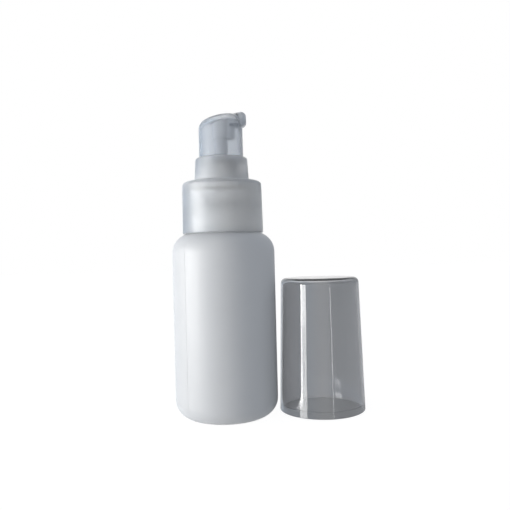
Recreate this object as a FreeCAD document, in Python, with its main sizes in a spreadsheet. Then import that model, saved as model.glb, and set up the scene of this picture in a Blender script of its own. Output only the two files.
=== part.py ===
# Pump oil bottle: a blow-moulded bottle, its finger pump and the overcap that stands beside it.
import FreeCAD, Part
import math
import os
import types

import Sketcher
from FreeCAD import Vector

# Driving dimensions in millimetres (counts and shares have no unit).
SIZES = [
    # Bottle
    ("body_diameter", 36.0, "outside of the bottle body"),
    ("bottle_wall", 1.0, "blow-moulded wall"),
    ("base_corner", 6.0, "outer radius where the body turns into the base"),
    ("stand_ring_width", 1.6, "flat ring that the bottle stands on"),
    ("base_pushup", 1.2, "rise of the hollow under the base"),
    ("shoulder_radius", 7.0, "quarter round from the body up to the neck"),
    ("shoulder_height", 64.3, "crown of the shoulder above the table"),
    ("neck_diameter", 21.4, "neck without its thread"),
    ("neck_wall", 1.5, "wall of the neck"),
    ("neck_height", 14.6, "neck above the shoulder's crown"),
    # Thread of the neck and the collar
    ("thread_pitch", 3.175, "rise of the thread in one turn"),
    ("thread_turns", 1.5, "turns of thread on the neck and in the collar"),
    ("thread_depth", 1.2, "height of the thread over the neck"),
    ("thread_lead_in", 2.2, "from the lip down to the middle of the thread's upper end"),
    ("thread_clearance", 0.25, "from a crest to the wall across from it"),
    ("neck_root_share", 0.6, "root of the neck's thread as a share of the pitch"),
    ("neck_crest_share", 0.25, "crest of the neck's thread as a share of the pitch"),
    ("collar_root_share", 0.45, "root of the collar's thread as a share of the pitch"),
    ("collar_crest_share", 0.2, "crest of the collar's thread as a share of the pitch"),
    # Screw collar with its tower
    ("collar_wall", 1.8, "skirt of the collar outside its thread, at the top"),
    ("collar_draft", 0.24, "growth of the collar's radius from top to rim"),
    ("collar_edge_radius", 1.3, "rounding of the collar's upper edge"),
    ("collar_plate", 1.2, "top plate that clamps the pump's flange"),
    ("collar_rim_round", 0.3, "rounding of the collar's lower edge"),
    ("collar_seat_gap", 0.3, "from the collar's rim to the shoulder"),
    ("lug_count", 12, "small lugs inside the collar's rim"),
    ("lug_width", 1.2, "lug across"),
    ("lug_depth", 0.4, "lug inwards"),
    ("lug_height", 1.2, "lug upwards"),
    ("tower_clearance", 0.32, "from the head's skirt to the tower's bore"),
    ("tower_wall", 1.0, "tower wall at its top"),
    ("tower_draft", 0.5, "growth of the tower's radius from top to foot"),
    ("tower_edge_radius", 0.8, "rounding of the tower's upper edge"),
    ("tower_foot_radius", 0.8, "fillet between tower and plate"),
    # Fits
    ("fit_clearance", 0.05, "gap of pieces that are pushed together"),
    ("slide_clearance", 0.06, "gap of pieces that slide in each other"),
    ("seat_clearance", 0.05, "gap of flat faces that turn or part"),
    ("loose_clearance", 0.3, "gap of pieces that pass each other freely"),
    # Stem, piston and valve plug
    ("stem_diameter", 4.5, "outside of the stem"),
    ("stem_bore", 2.4, "channel through the stem"),
    ("stem_port", 1.2, "cross hole that lets the oil into the stem"),
    ("stem_flange", 1.2, "thickness of the stem's stop flange"),
    ("flange_overlap", 0.2, "reach of the stem's flange over the piston's hub"),
    ("hub_clearance", 0.35, "oil gap between stem and piston hub"),
    ("hub_wall", 0.8, "wall of the piston's hub"),
    ("piston_groove", 0.7, "groove between the piston's hub and its lip"),
    ("lip_wall", 0.66, "wall of the piston's lip"),
    ("lip_setback", 0.4, "from the hub's ends to the lip's ends"),
    ("piston_length", 5.0, "length of the piston's hub"),
    ("piston_web", 1.2, "web between the piston's hub and its lip"),
    ("piston_lag", 0.7, "play of the piston on the stem, which opens the valve"),
    ("plug_flange", 1.1, "thickness of the valve plug's flange"),
    ("plug_spigot", 3.6, "length of the plug inside the stem"),
    ("plug_pilot", 1.2, "pin under the plug that centres the spring"),
    ("plug_pilot_diameter", 4.0, "pin under the plug, across"),
    # Pump housing
    ("gasket_thickness", 0.8, "sealing disc on the neck"),
    ("housing_flange", 1.1, "thickness of the housing's flange"),
    ("barrel_wall", 1.1, "wall of the pump barrel"),
    ("barrel_floor", 1.0, "floor that the spring stands on"),
    ("rim_wall", 0.85, "rim above the flange that carries the stem guide"),
    ("rim_height", 4.0, "rim above the flange"),
    ("inlet_bore", 2.6, "hole under the ball"),
    ("inlet_land", 0.8, "straight hole between the ball seat and the dip tube"),
    ("chamber_clearance", 0.6, "from the ball to its chamber"),
    ("chamber_wall", 0.9, "wall of the ball chamber and of the tube socket"),
    ("bead_depth", 1.0, "height of the bead that keeps the ball in"),
    ("bead_grip", 0.1, "reach of that bead inside the ball's radius"),
    ("ball_diameter", 4.0, "inlet ball"),
    ("ball_lift", 1.2, "travel of the ball off its seat"),
    ("ball_spare", 0.5, "from the lifted ball's middle zone to the bead"),
    ("tube_diameter", 4.6, "outside of the dip tube"),
    ("tube_bore", 3.0, "inside of the dip tube"),
    ("tube_socket", 8.0, "length of the dip tube inside the housing"),
    ("tube_floor_gap", 2.5, "from the dip tube's tip to the bottle's floor"),
    ("tube_tip_slant", 2.2, "rise of the slanted cut at the dip tube's tip"),
    # Return spring
    ("spring_length", 16.1, "return spring as it stands in the pump"),
    ("spring_wire", 0.7, "wire of the return spring"),
    ("spring_end_gap", 0.5, "gap between the wires in the end turns"),
    ("spring_active_turns", 5, "working turns between the two end turns"),
    # Stem guide
    ("guide_wall", 0.9, "wall of the stem guide"),
    ("guide_height", 9.2, "stem guide above the housing's flange"),
    ("guide_draft", 0.5, "loss of the guide's radius from foot to top"),
    ("guide_roof", 1.0, "roof of the stem guide"),
    ("guide_edge_radius", 1.6, "rounding of the guide's upper edge"),
    ("sleeve_length", 4.6, "sleeve under the roof that the stem slides in"),
    # Pump head
    ("stroke_length", 6.0, "full press of the head"),
    ("press_clearance", 0.4, "left under the skirt when the head is pressed"),
    ("skirt_wall", 0.8, "wall of the head's skirt"),
    ("skirt_clearance", 0.4, "from the stem guide to the inside of the skirt"),
    ("skirt_draft", 0.12, "loss of the head's radius from skirt to top"),
    ("skirt_overlap", 2.1, "length of the skirt inside the tower at rest"),
    ("head_back_height", 15.1, "slanted top over the skirt's rim, at the back"),
    ("head_front_height", 18.7, "slanted top over the skirt's rim, at the nozzle's end"),
    ("head_edge_radius", 3.4, "rounding of the head's upper edge"),
    ("head_roof", 1.2, "roof of the head"),
    ("nozzle_overhang", 1.3, "nozzle beyond the skirt"),
    ("nozzle_width", 6.4, "nozzle across"),
    ("nozzle_depth", 5.7, "nozzle's end from under to top"),
    ("nozzle_corner", 2.0, "rounding along the nozzle"),
    ("nozzle_end_radius", 1.8, "rounding around the nozzle's end"),
    ("nozzle_sink", 0.1, "nozzle's top below the slanted top"),
    ("outlet_bore", 1.8, "channel of the nozzle"),
    ("outlet_rise", 2.3, "channel above the nozzle's underside"),
    ("outlet_recess", 3.0, "shallow recess round the outlet, across"),
    ("recess_depth", 0.5, "depth of that recess"),
    ("socket_clearance", 1.35, "left between socket and stem guide when pressed"),
    ("socket_depth", 4.6, "length of the stem inside the head's socket"),
    ("socket_wall", 0.6, "wall of the head's socket"),
    ("web_reach", 5.0, "front of the channel web from the axis"),
    ("web_width", 3.6, "channel web across"),
    # Overcap
    ("cap_clearance", 0.3, "from the collar's rim to the cap's mouth"),
    ("cap_wall", 0.9, "wall of the overcap"),
    ("cap_roof", 1.1, "top of the overcap"),
    ("cap_height", 47.5, "length of the overcap"),
    ("cap_draft", 1.4, "loss of the cap's radius from mouth to top"),
    ("cap_edge_radius", 2.0, "rounding of the cap's upper edge"),
    ("cap_rim_round", 0.25, "rounding of the cap's mouth, outside"),
    ("cap_ledge_height", 2.4, "height of the relief inside the mouth"),
    ("cap_ledge_depth", 0.25, "depth of that relief"),
    ("cap_gap", 1.2, "between the standing cap and the bottle"),
    ("cap_setback", 5.0, "cap's axis behind the bottle's axis"),
]

LEFT = 1
RIGHT = -1


class Size:
    """A size that carries its value and the sheet expression that gives it."""

    def __init__(self, value, text):
        self.value = value
        self.text = text

    def __add__(self, other):
        other = as_size(other)
        return Size(self.value + other.value, f"({self.text} + {other.text})")

    __radd__ = __add__

    def __sub__(self, other):
        other = as_size(other)
        return Size(self.value - other.value, f"({self.text} - {other.text})")

    def __mul__(self, other):
        other = as_size(other)
        return Size(self.value * other.value, f"({self.text} * {other.text})")

    __rmul__ = __mul__

    def __truediv__(self, other):
        other = as_size(other)
        return Size(self.value / other.value, f"({self.text} / {other.text})")

    def __neg__(self):
        return self * -1


def as_size(item):
    """Return item as a Size; a plain number is its own expression."""
    if isinstance(item, Size):
        return item
    return Size(float(item), f"({float(item)})")


def root(size):
    """Square root of a Size."""
    return Size(math.sqrt(size.value), f"sqrt({size.text})")


def larger(first, second):
    """The larger of two Sizes."""
    return Size(max(first.value, second.value), f"max({first.text}; {second.text})")


def smaller(first, second):
    """The smaller of two Sizes."""
    return Size(min(first.value, second.value), f"min({first.text}; {second.text})")


def is_zero(item):
    """True for the plain number 0, which marks a point on an axis of the sketch."""
    return not isinstance(item, Size) and item == 0


doc = FreeCAD.newDocument("PumpOilBottle")
sheet = doc.addObject("Spreadsheet::Sheet", "Sizes")
for row, (alias, value, meaning) in enumerate(SIZES, start=1):
    sheet.set(f"A{row}", alias)
    sheet.set(f"B{row}", str(value))
    sheet.set(f"C{row}", meaning)
    sheet.setAlias(f"B{row}", alias)
doc.recompute()
S = types.SimpleNamespace(
    **{alias: Size(float(value), f"Sizes.{alias}") for alias, value, meaning in SIZES})

# Drawing and feature helpers


def bind(item, prop, size):
    """Tie one property of a document object to the sheet."""
    item.setExpression(prop, as_size(size).text)


def origin_part(body, role):
    """Origin plane or axis of a body, by its role."""
    return [part for part in body.Origin.OriginFeatures if part.Role == role][0]


def new_body(name):
    """Empty body whose label names its part."""
    body = doc.addObject("PartDesign::Body", name)
    body.Label = name
    return body


def arc_between(start, end, radius, side):
    """Arc of a circle from start to end that turns to the given side, less than half a turn."""
    chord = end - start
    normal = Vector(-chord.y, chord.x, 0).normalize() * side
    reach = math.sqrt(max(radius ** 2 - (chord.Length / 2) ** 2, 0.0))
    centre = (start + end) * 0.5 + normal * reach
    first, last = (start, end) if side == LEFT else (end, start)
    angle_first = math.atan2(first.y - centre.y, first.x - centre.x)
    angle_last = math.atan2(last.y - centre.y, last.x - centre.x)
    if angle_last < angle_first:
        angle_last += 2 * math.pi
    whole = Part.Circle(centre, Vector(0, 0, 1), radius)
    return Part.ArcOfCircle(whole, angle_first, angle_last)


def constrain(sketch, kind, index, position, size):
    """Place one end of an edge: its distance from the sketch's origin along x or y."""
    if is_zero(size):
        axis = -2 if kind == "DistanceX" else -1
        sketch.addConstraint(Sketcher.Constraint("PointOnObject", index, position, axis))
        return
    size = as_size(size)
    number = sketch.addConstraint(Sketcher.Constraint(kind, -1, 1, index, position, size.value))
    bind(sketch, f"Constraints[{number}]", size)


def new_sketch(body, name, plane, offset):
    """Empty sketch on an origin plane of its body, raised by offset where one is given."""
    sketch = body.newObject("Sketcher::SketchObject", name)
    sketch.AttachmentSupport = (origin_part(body, plane), [""])
    sketch.MapMode = "FlatFace"
    if offset is not None:
        bind(sketch, "AttachmentOffset.Base.z", offset)
    return sketch


def bind_radius(sketch, index, radius):
    """Tie the radius of one arc or circle to the sheet."""
    number = sketch.addConstraint(Sketcher.Constraint("Radius", index, radius.value))
    bind(sketch, f"Constraints[{number}]", radius)


def circle(body, name, radius, height=0, plane="XZ_Plane", offset=None):
    """Circle on the sketch's upright axis."""
    sketch = new_sketch(body, name, plane, offset)
    middle = Vector(0, as_size(height).value, 0)
    sketch.addGeometry(Part.Circle(middle, Vector(0, 0, 1), radius.value))
    constrain(sketch, "DistanceX", 0, 3, 0)
    constrain(sketch, "DistanceY", 0, 3, height)
    bind_radius(sketch, 0, radius)
    return sketch


def outline(body, name, points, plane="XZ_Plane", offset=None):
    """Closed outline of lines and arcs.

    A point is (x, y), reached by a line, or (x, y, radius, side), reached by an arc.
    """
    sketch = new_sketch(body, name, plane, offset)
    places = [Vector(as_size(p[0]).value, as_size(p[1]).value, 0) for p in points]
    heads = []
    tails = []
    for index, point in enumerate(points):
        start = places[index - 1]
        end = places[index]
        if len(point) == 2:
            sketch.addGeometry(Part.LineSegment(start, end))
            turns_right = False
        else:
            radius, side = point[2:]
            sketch.addGeometry(arc_between(start, end, radius.value, side))
            turns_right = side == RIGHT
        heads.append(2 if turns_right else 1)
        tails.append(1 if turns_right else 2)
    count = len(points)
    for index, point in enumerate(points):
        following = (index + 1) % count
        joint = Sketcher.Constraint("Coincident", index, tails[index], following, heads[following])
        sketch.addConstraint(joint)
        constrain(sketch, "DistanceX", index, tails[index], point[0])
        constrain(sketch, "DistanceY", index, tails[index], point[1])
        if len(point) == 4:
            bind_radius(sketch, index, point[2])
    return sketch


def turn(body, name, points):
    """Revolve an outline of (radius, height) points about the body's upright axis."""
    sketch = outline(body, name + "_outline", points)
    feature = body.newObject("PartDesign::Revolution", name)
    feature.Profile = sketch
    feature.ReferenceAxis = (sketch, ["V_Axis"])
    feature.Angle = 360
    return feature


def turned_part(name, points):
    """Body made by one revolved outline."""
    body = new_body(name)
    turn(body, name + "_turned", points)
    return body


def wind_ridge(body, name, points, pitch, turns):
    """Wind a ridge outline round the upright axis as a right-hand thread."""
    sketch = outline(body, name + "_outline", points)
    feature = body.newObject("PartDesign::AdditiveHelix", name)
    feature.Profile = sketch
    feature.ReferenceAxis = (sketch, ["V_Axis"])
    feature.Mode = 0
    feature.LeftHanded = False
    bind(feature, "Pitch", pitch)
    bind(feature, "Height", pitch * turns)
    return feature


def pad(body, name, sketch, length, both_ways=False):
    """Extrude an outline."""
    feature = body.newObject("PartDesign::Pad", name)
    feature.Profile = sketch
    feature.Midplane = both_ways
    bind(feature, "Length", length)
    return feature


def cut_through(body, name, sketch):
    """Cut an outline through the whole body, both ways."""
    feature = body.newObject("PartDesign::Pocket", name)
    feature.Profile = sketch
    feature.Midplane = True
    feature.Type = "ThroughAll"
    return feature


def round_edges(body, name, base, radius, wanted):
    """Fillet the edges of base that pass the test wanted."""
    doc.recompute()
    edges = base.Shape.Edges
    names = [f"Edge{number}" for number, edge in enumerate(edges, start=1) if wanted(edge)]
    feature = body.newObject("PartDesign::Fillet", name)
    feature.Base = (base, names)
    bind(feature, "Radius", radius)
    return feature


def pin(name, radius, length, height, along_x=False):
    """Plain cylinder on the upright axis, or lying along +X at the given height."""
    cylinder = doc.addObject("Part::Cylinder", name)
    bind(cylinder, "Radius", radius)
    bind(cylinder, "Height", length)
    if along_x:
        cylinder.Placement.Rotation = FreeCAD.Rotation(Vector(0, 1, 0), 90)
    bind(cylinder, "Placement.Base.z", height)
    return cylinder


def combine(kind, name, first, second):
    """Boolean of two objects: Part::Cut, Part::Fuse or Part::Common."""
    result = doc.addObject(kind, name)
    result.Base = first
    result.Tool = second
    return result


# Radii, from the stem outwards
body_radius = S.body_diameter / 2
neck_radius = S.neck_diameter / 2
shoulder_middle = body_radius - S.shoulder_radius
stem_radius = S.stem_diameter / 2
stem_bore_radius = S.stem_bore / 2
hub_inner = stem_radius + S.hub_clearance
hub_outer = hub_inner + S.hub_wall
lip_inner = hub_outer + S.piston_groove
lip_outer = lip_inner + S.lip_wall
stop_radius = hub_outer + S.flange_overlap
barrel_inner = lip_outer + S.slide_clearance
barrel_outer = barrel_inner + S.barrel_wall
rim_outer = barrel_inner + S.rim_wall
guide_inner = rim_outer + S.fit_clearance
guide_outer = guide_inner + S.guide_wall
guide_top_radius = guide_outer - S.guide_draft
sleeve_inner = stem_radius + S.slide_clearance
sleeve_outer = sleeve_inner + S.guide_wall
skirt_inner = guide_outer + S.skirt_clearance
skirt_outer = skirt_inner + S.skirt_wall
tower_inner = skirt_outer + S.tower_clearance
tower_top_radius = tower_inner + S.tower_wall
tower_foot = tower_top_radius + S.tower_draft
collar_inner = neck_radius + S.thread_depth + S.thread_clearance
collar_top_radius = collar_inner + S.collar_wall
collar_rim_radius = collar_top_radius + S.collar_draft
nozzle_end = skirt_outer + S.nozzle_overhang
ball_radius = S.ball_diameter / 2
chamber_inner = ball_radius + S.chamber_clearance
chamber_outer = chamber_inner + S.chamber_wall
tube_radius = S.tube_diameter / 2
socket_inner = tube_radius + S.fit_clearance
tail_outer = socket_inner + S.chamber_wall
cap_mouth_inner = collar_rim_radius + S.cap_clearance
cap_mouth_outer = cap_mouth_inner + S.cap_wall
cap_top_outer = cap_mouth_outer - S.cap_draft
cap_top_inner = cap_top_outer - S.cap_wall

# Heights above the table
neck_top = S.shoulder_height + S.neck_height
gasket_top = neck_top + S.gasket_thickness
flange_top = gasket_top + S.housing_flange
rim_top = flange_top + S.rim_height
guide_top = flange_top + S.guide_height
plate_under = flange_top + S.seat_clearance
collar_top = plate_under + S.collar_plate
skirt_rim = collar_top + S.stroke_length + S.press_clearance
tower_top = skirt_rim + S.skirt_overlap
socket_rim = guide_top + S.stroke_length + S.socket_clearance
stem_top = socket_rim + S.socket_depth
sleeve_end = guide_top - S.guide_roof - S.sleeve_length
stop_top = sleeve_end - S.seat_clearance
stop_under = stop_top - S.stem_flange
piston_top = stop_under - S.piston_lag
piston_end = piston_top - S.piston_length
plug_top = piston_end - S.seat_clearance
plug_under = plug_top - S.plug_flange
spring_top = plug_under - S.seat_clearance
spring_end = spring_top - S.spring_length
floor_top = spring_end - S.seat_clearance
ball_rest = floor_top - S.bead_depth - S.ball_spare - S.ball_lift
seat_apex = ball_rest - ball_radius * math.sqrt(2) - S.seat_clearance
seat_end = seat_apex + S.inlet_bore / 2
socket_roof = seat_end - S.inlet_land
tail_end = socket_roof - S.tube_socket
bottle_floor = S.base_pushup + S.bottle_wall
shoulder_foot = S.shoulder_height - S.shoulder_radius
nozzle_under = skirt_rim + S.head_front_height - S.nozzle_depth
outlet_height = nozzle_under + S.outlet_rise


def shoulder_at(radius, inset=0):
    """Height of the quarter-round shoulder at a radius, outside or inset by a wall."""
    rounding = S.shoulder_radius - inset
    drop = radius - shoulder_middle
    return shoulder_foot + root(rounding * rounding - drop * drop)


def head_top_at(place):
    """Height of the head's slanted top at a place along X."""
    slope = (S.head_front_height - S.head_back_height) / (nozzle_end + skirt_outer)
    return skirt_rim + S.head_back_height + slope * (place + skirt_outer)


def make_bottle():
    """Blow-moulded bottle with a hollow base, a quarter-round shoulder and a threaded neck."""
    ring_outer = body_radius - S.base_corner
    ring_inner = ring_outer - S.stand_ring_width
    hollow = (ring_inner * ring_inner + S.base_pushup * S.base_pushup) / (2 * S.base_pushup)
    wall_inner = body_radius - S.bottle_wall
    bore = neck_radius - S.neck_wall
    least_flat = S.bottle_wall / 4
    crown = larger(shoulder_middle, neck_radius + least_flat)
    crown_height = shoulder_at(crown)
    inner_crown = larger(shoulder_middle, bore + least_flat)
    inner_crown_height = shoulder_at(inner_crown, S.bottle_wall)
    body = new_body("bottle")
    turn(body, "bottle_wall_turned", [
        (0, S.base_pushup),
        (ring_inner, 0, hollow, RIGHT),
        (ring_outer, 0),
        (body_radius, S.base_corner, S.base_corner, LEFT),
        (body_radius, shoulder_foot),
        (crown, crown_height, S.shoulder_radius, LEFT),
        (neck_radius, crown_height),
        (neck_radius, neck_top),
        (bore, neck_top),
        (bore, inner_crown_height),
        (inner_crown, inner_crown_height),
        (wall_inner, shoulder_foot, S.shoulder_radius - S.bottle_wall, RIGHT),
        (wall_inner, S.base_corner),
        (ring_outer, S.bottle_wall, S.base_corner - S.bottle_wall, RIGHT),
        (ring_inner, S.bottle_wall),
        (0, bottle_floor, hollow, LEFT),
    ])
    middle = neck_top - S.thread_lead_in - S.thread_pitch * S.thread_turns
    half_root = S.thread_pitch * S.neck_root_share / 2
    half_crest = S.thread_pitch * S.neck_crest_share / 2
    sunk = neck_radius - S.neck_wall / 4
    crest = neck_radius + S.thread_depth
    wind_ridge(body, "neck_thread", [
        (sunk, middle - half_root),
        (neck_radius, middle - half_root),
        (crest, middle - half_crest),
        (crest, middle + half_crest),
        (neck_radius, middle + half_root),
        (sunk, middle + half_root),
    ], S.thread_pitch, S.thread_turns)
    return body


def make_collar():
    """Screw collar: threaded skirt with small rim lugs, clamp plate, and the tower round the head."""
    plate_hole = guide_outer + S.loose_clearance
    rim_inner_height = shoulder_at(collar_inner) + S.collar_seat_gap
    rim_edge = collar_rim_radius - S.collar_rim_round
    rim_edge_height = shoulder_at(rim_edge) + S.collar_seat_gap
    edge = S.collar_edge_radius
    foot = S.tower_foot_radius
    lip = S.tower_edge_radius
    body = new_body("screw_collar")
    turn(body, "collar_turned", [
        (collar_inner, rim_inner_height),
        (rim_edge, rim_edge_height),
        (collar_rim_radius, rim_edge_height + S.collar_rim_round, S.collar_rim_round, LEFT),
        (collar_top_radius, collar_top - edge),
        (collar_top_radius - edge, collar_top, edge, LEFT),
        (tower_foot + foot, collar_top),
        (tower_foot, collar_top + foot, foot, RIGHT),
        (tower_top_radius, tower_top - lip),
        (tower_top_radius - lip, tower_top, lip, LEFT),
        (tower_inner, tower_top),
        (tower_inner, collar_top),
        (plate_hole, collar_top),
        (plate_hole, plate_under),
        (collar_inner, plate_under),
    ])
    neck_thread_end = neck_top - S.thread_lead_in - S.thread_pitch * S.thread_turns
    middle = neck_thread_end - S.thread_pitch / 2
    half_root = S.thread_pitch * S.collar_root_share / 2
    half_crest = S.thread_pitch * S.collar_crest_share / 2
    sunk = collar_inner + S.collar_wall / 4
    crest = neck_radius + S.thread_clearance
    wind_ridge(body, "collar_thread", [
        (crest, middle - half_crest),
        (collar_inner, middle - half_root),
        (sunk, middle - half_root),
        (sunk, middle + half_root),
        (collar_inner, middle + half_root),
        (crest, middle + half_crest),
    ], S.thread_pitch, S.thread_turns)
    half_lug = S.lug_width / 2
    lug_face = collar_inner - S.lug_depth
    lug_outline = outline(body, "lug_outline", [
        (lug_face, -half_lug),
        (sunk, -half_lug),
        (sunk, half_lug),
        (lug_face, half_lug),
    ], plane="XY_Plane", offset=rim_inner_height)
    lug = pad(body, "lug", lug_outline, S.lug_height)
    ring = body.newObject("PartDesign::PolarPattern", "lug_ring")
    ring.Originals = [lug]
    ring.Axis = (origin_part(body, "Z_Axis"), [""])
    ring.Angle = 360
    bind(ring, "Occurrences", S.lug_count)
    body.Tip = ring
    return body


def make_gasket():
    """Soft disc between the neck's lip and the housing's flange."""
    inner = barrel_outer + S.fit_clearance
    return turned_part("neck_gasket", [
        (inner, neck_top),
        (neck_radius, neck_top),
        (neck_radius, gasket_top),
        (inner, gasket_top),
    ])


def make_housing():
    """Pump housing: flange and rim, barrel, ball chamber with its seat, and dip tube socket."""
    bead_inner = ball_radius - S.bead_grip
    floor_under = floor_top - S.barrel_floor
    inlet = S.inlet_bore / 2
    return turned_part("pump_housing", [
        (barrel_inner, rim_top),
        (barrel_inner, floor_top),
        (bead_inner, floor_top),
        (bead_inner, floor_top - S.bead_depth / 2),
        (chamber_inner, floor_top - S.bead_depth),
        (chamber_inner, seat_apex + chamber_inner),
        (inlet, seat_end),
        (inlet, socket_roof),
        (socket_inner, socket_roof),
        (socket_inner, tail_end),
        (tail_outer, tail_end),
        (tail_outer, socket_roof),
        (chamber_outer, seat_end),
        (chamber_outer, floor_under - S.barrel_wall),
        (barrel_outer, floor_under),
        (barrel_outer, gasket_top),
        (neck_radius, gasket_top),
        (neck_radius, flange_top),
        (rim_outer, flange_top),
        (rim_outer, rim_top),
    ])


def make_guide():
    """Stem guide: the domed cover that snaps over the housing's rim and holds the stem upright."""
    edge = S.guide_edge_radius
    roof_under = guide_top - S.guide_roof
    return turned_part("stem_guide", [
        (guide_inner, flange_top),
        (guide_outer, flange_top),
        (guide_top_radius, guide_top - edge),
        (guide_top_radius - edge, guide_top, edge, LEFT),
        (sleeve_inner, guide_top),
        (sleeve_inner, sleeve_end),
        (sleeve_outer, sleeve_end),
        (sleeve_outer, roof_under),
        (guide_top_radius - S.guide_wall, roof_under),
        (guide_inner, rim_top),
    ])


def make_stem():
    """Hollow stem with its stop flange and the cross hole that lets the oil in."""
    stem_end = plug_top + S.seat_clearance
    body = new_body("stem")
    turn(body, "stem_turned", [
        (stem_bore_radius, stem_end),
        (stem_radius, stem_end),
        (stem_radius, stop_under),
        (stop_radius, stop_under),
        (stop_radius, stop_top),
        (stem_radius, stop_top),
        (stem_radius, stem_top),
        (stem_bore_radius, stem_top),
    ])
    port_middle = (plug_top + S.plug_spigot + stop_under) / 2
    cut_through(body, "port", circle(body, "port_outline", S.stem_port / 2, port_middle))
    return body


def make_piston():
    """Piston: a hub that slides a little on the stem and a lip that seals the barrel."""
    web_middle = (piston_top + piston_end) / 2
    web_top = web_middle + S.piston_web / 2
    web_under = web_middle - S.piston_web / 2
    return turned_part("piston", [
        (hub_inner, piston_end),
        (hub_outer, piston_end),
        (hub_outer, web_under),
        (lip_inner, web_under),
        (lip_inner, piston_end + S.lip_setback),
        (lip_outer, piston_end + S.lip_setback),
        (lip_outer, piston_top - S.lip_setback),
        (lip_inner, piston_top - S.lip_setback),
        (lip_inner, web_top),
        (hub_outer, web_top),
        (hub_outer, piston_top),
        (hub_inner, piston_top),
    ])


def make_plug():
    """Valve plug: a spigot in the stem, the flange that closes the piston, and the spring's pilot."""
    spigot = stem_bore_radius - S.fit_clearance
    pilot = S.plug_pilot_diameter / 2
    return turned_part("valve_plug", [
        (0, plug_under - S.plug_pilot),
        (pilot, plug_under - S.plug_pilot),
        (pilot, plug_under),
        (stop_radius, plug_under),
        (stop_radius, plug_top),
        (spigot, plug_top),
        (spigot, plug_top + S.plug_spigot),
        (0, plug_top + S.plug_spigot),
    ])


def make_ball():
    """Inlet ball, a hair above its conical seat."""
    ball = doc.addObject("Part::Sphere", "inlet_ball")
    ball.Label = "inlet_ball"
    bind(ball, "Radius", ball_radius)
    bind(ball, "Placement.Base.z", ball_rest)
    return ball


def make_tube():
    """Dip tube with a slanted tip."""
    bore = S.tube_bore / 2
    tip = bottle_floor + S.tube_floor_gap
    body = new_body("dip_tube")
    turn(body, "tube_turned", [
        (bore, tip),
        (tube_radius, tip),
        (tube_radius, socket_roof - S.seat_clearance),
        (bore, socket_roof - S.seat_clearance),
    ])
    slant = outline(body, "tip_slant", [
        (-tube_radius, tip),
        (-tube_radius, tip - S.tube_tip_slant),
        (tube_radius, tip - S.tube_tip_slant),
        (tube_radius, tip + S.tube_tip_slant),
    ])
    cut_through(body, "tip_cut", slant)
    return body


def head_blank(name, inset, under, drop):
    """Solid of the head's outer or inner shape: drafted, slanted on top, with a rounded edge."""
    high = head_top_at(nozzle_end) + S.head_roof
    body = new_body(name)
    turn(body, name + "_turned", [
        (0, under),
        (skirt_outer - inset, under),
        (skirt_outer - inset - S.skirt_draft, high),
        (0, high),
    ])
    wide = skirt_outer + S.nozzle_overhang
    slant_outline = outline(body, name + "_slant", [
        (-wide, head_top_at(-wide) - drop),
        (wide, head_top_at(wide) - drop),
        (wide, high + S.head_roof),
        (-wide, high + S.head_roof),
    ])
    slant = cut_through(body, name + "_cut", slant_outline)
    rim_limit = under.value + (high.value - under.value) / 2
    edge_radius = S.head_edge_radius - inset
    round_edges(body, name + "_rounded", slant, edge_radius,
                lambda edge: edge.Closed and edge.BoundBox.ZMin > rim_limit)
    return body


def make_nozzle():
    """Nozzle block from the web to its end, a little under the slanted top, with rounded edges."""
    start = S.web_reach - S.web_width / 2
    top_at_start = head_top_at(start) - S.nozzle_sink
    # Two corners leave a little flat between them at the block's shallow end.
    corner_share = 0.48
    corner = smaller(S.nozzle_corner, (top_at_start - nozzle_under) * corner_share)
    # The end's rounding stays inside the corners that run along the block.
    end_share = 0.95
    end_radius = smaller(S.nozzle_end_radius, corner * end_share)
    slack = S.nozzle_sink.value / 10
    body = new_body("nozzle_block")
    side = outline(body, "nozzle_side", [
        (start, nozzle_under),
        (nozzle_end, nozzle_under),
        (nozzle_end, head_top_at(nozzle_end) - S.nozzle_sink),
        (start, top_at_start),
    ])
    block = pad(body, "nozzle_pad", side, S.nozzle_width, both_ways=True)

    def runs_along(edge):
        return edge.BoundBox.XLength > nozzle_end.value - start.value - slack

    def rims_end(edge):
        return edge.BoundBox.XMin > nozzle_end.value - slack

    along = round_edges(body, "nozzle_rounded", block, corner, runs_along)
    round_edges(body, "nozzle_end_rounded", along, end_radius, rims_end)
    return body


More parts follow.
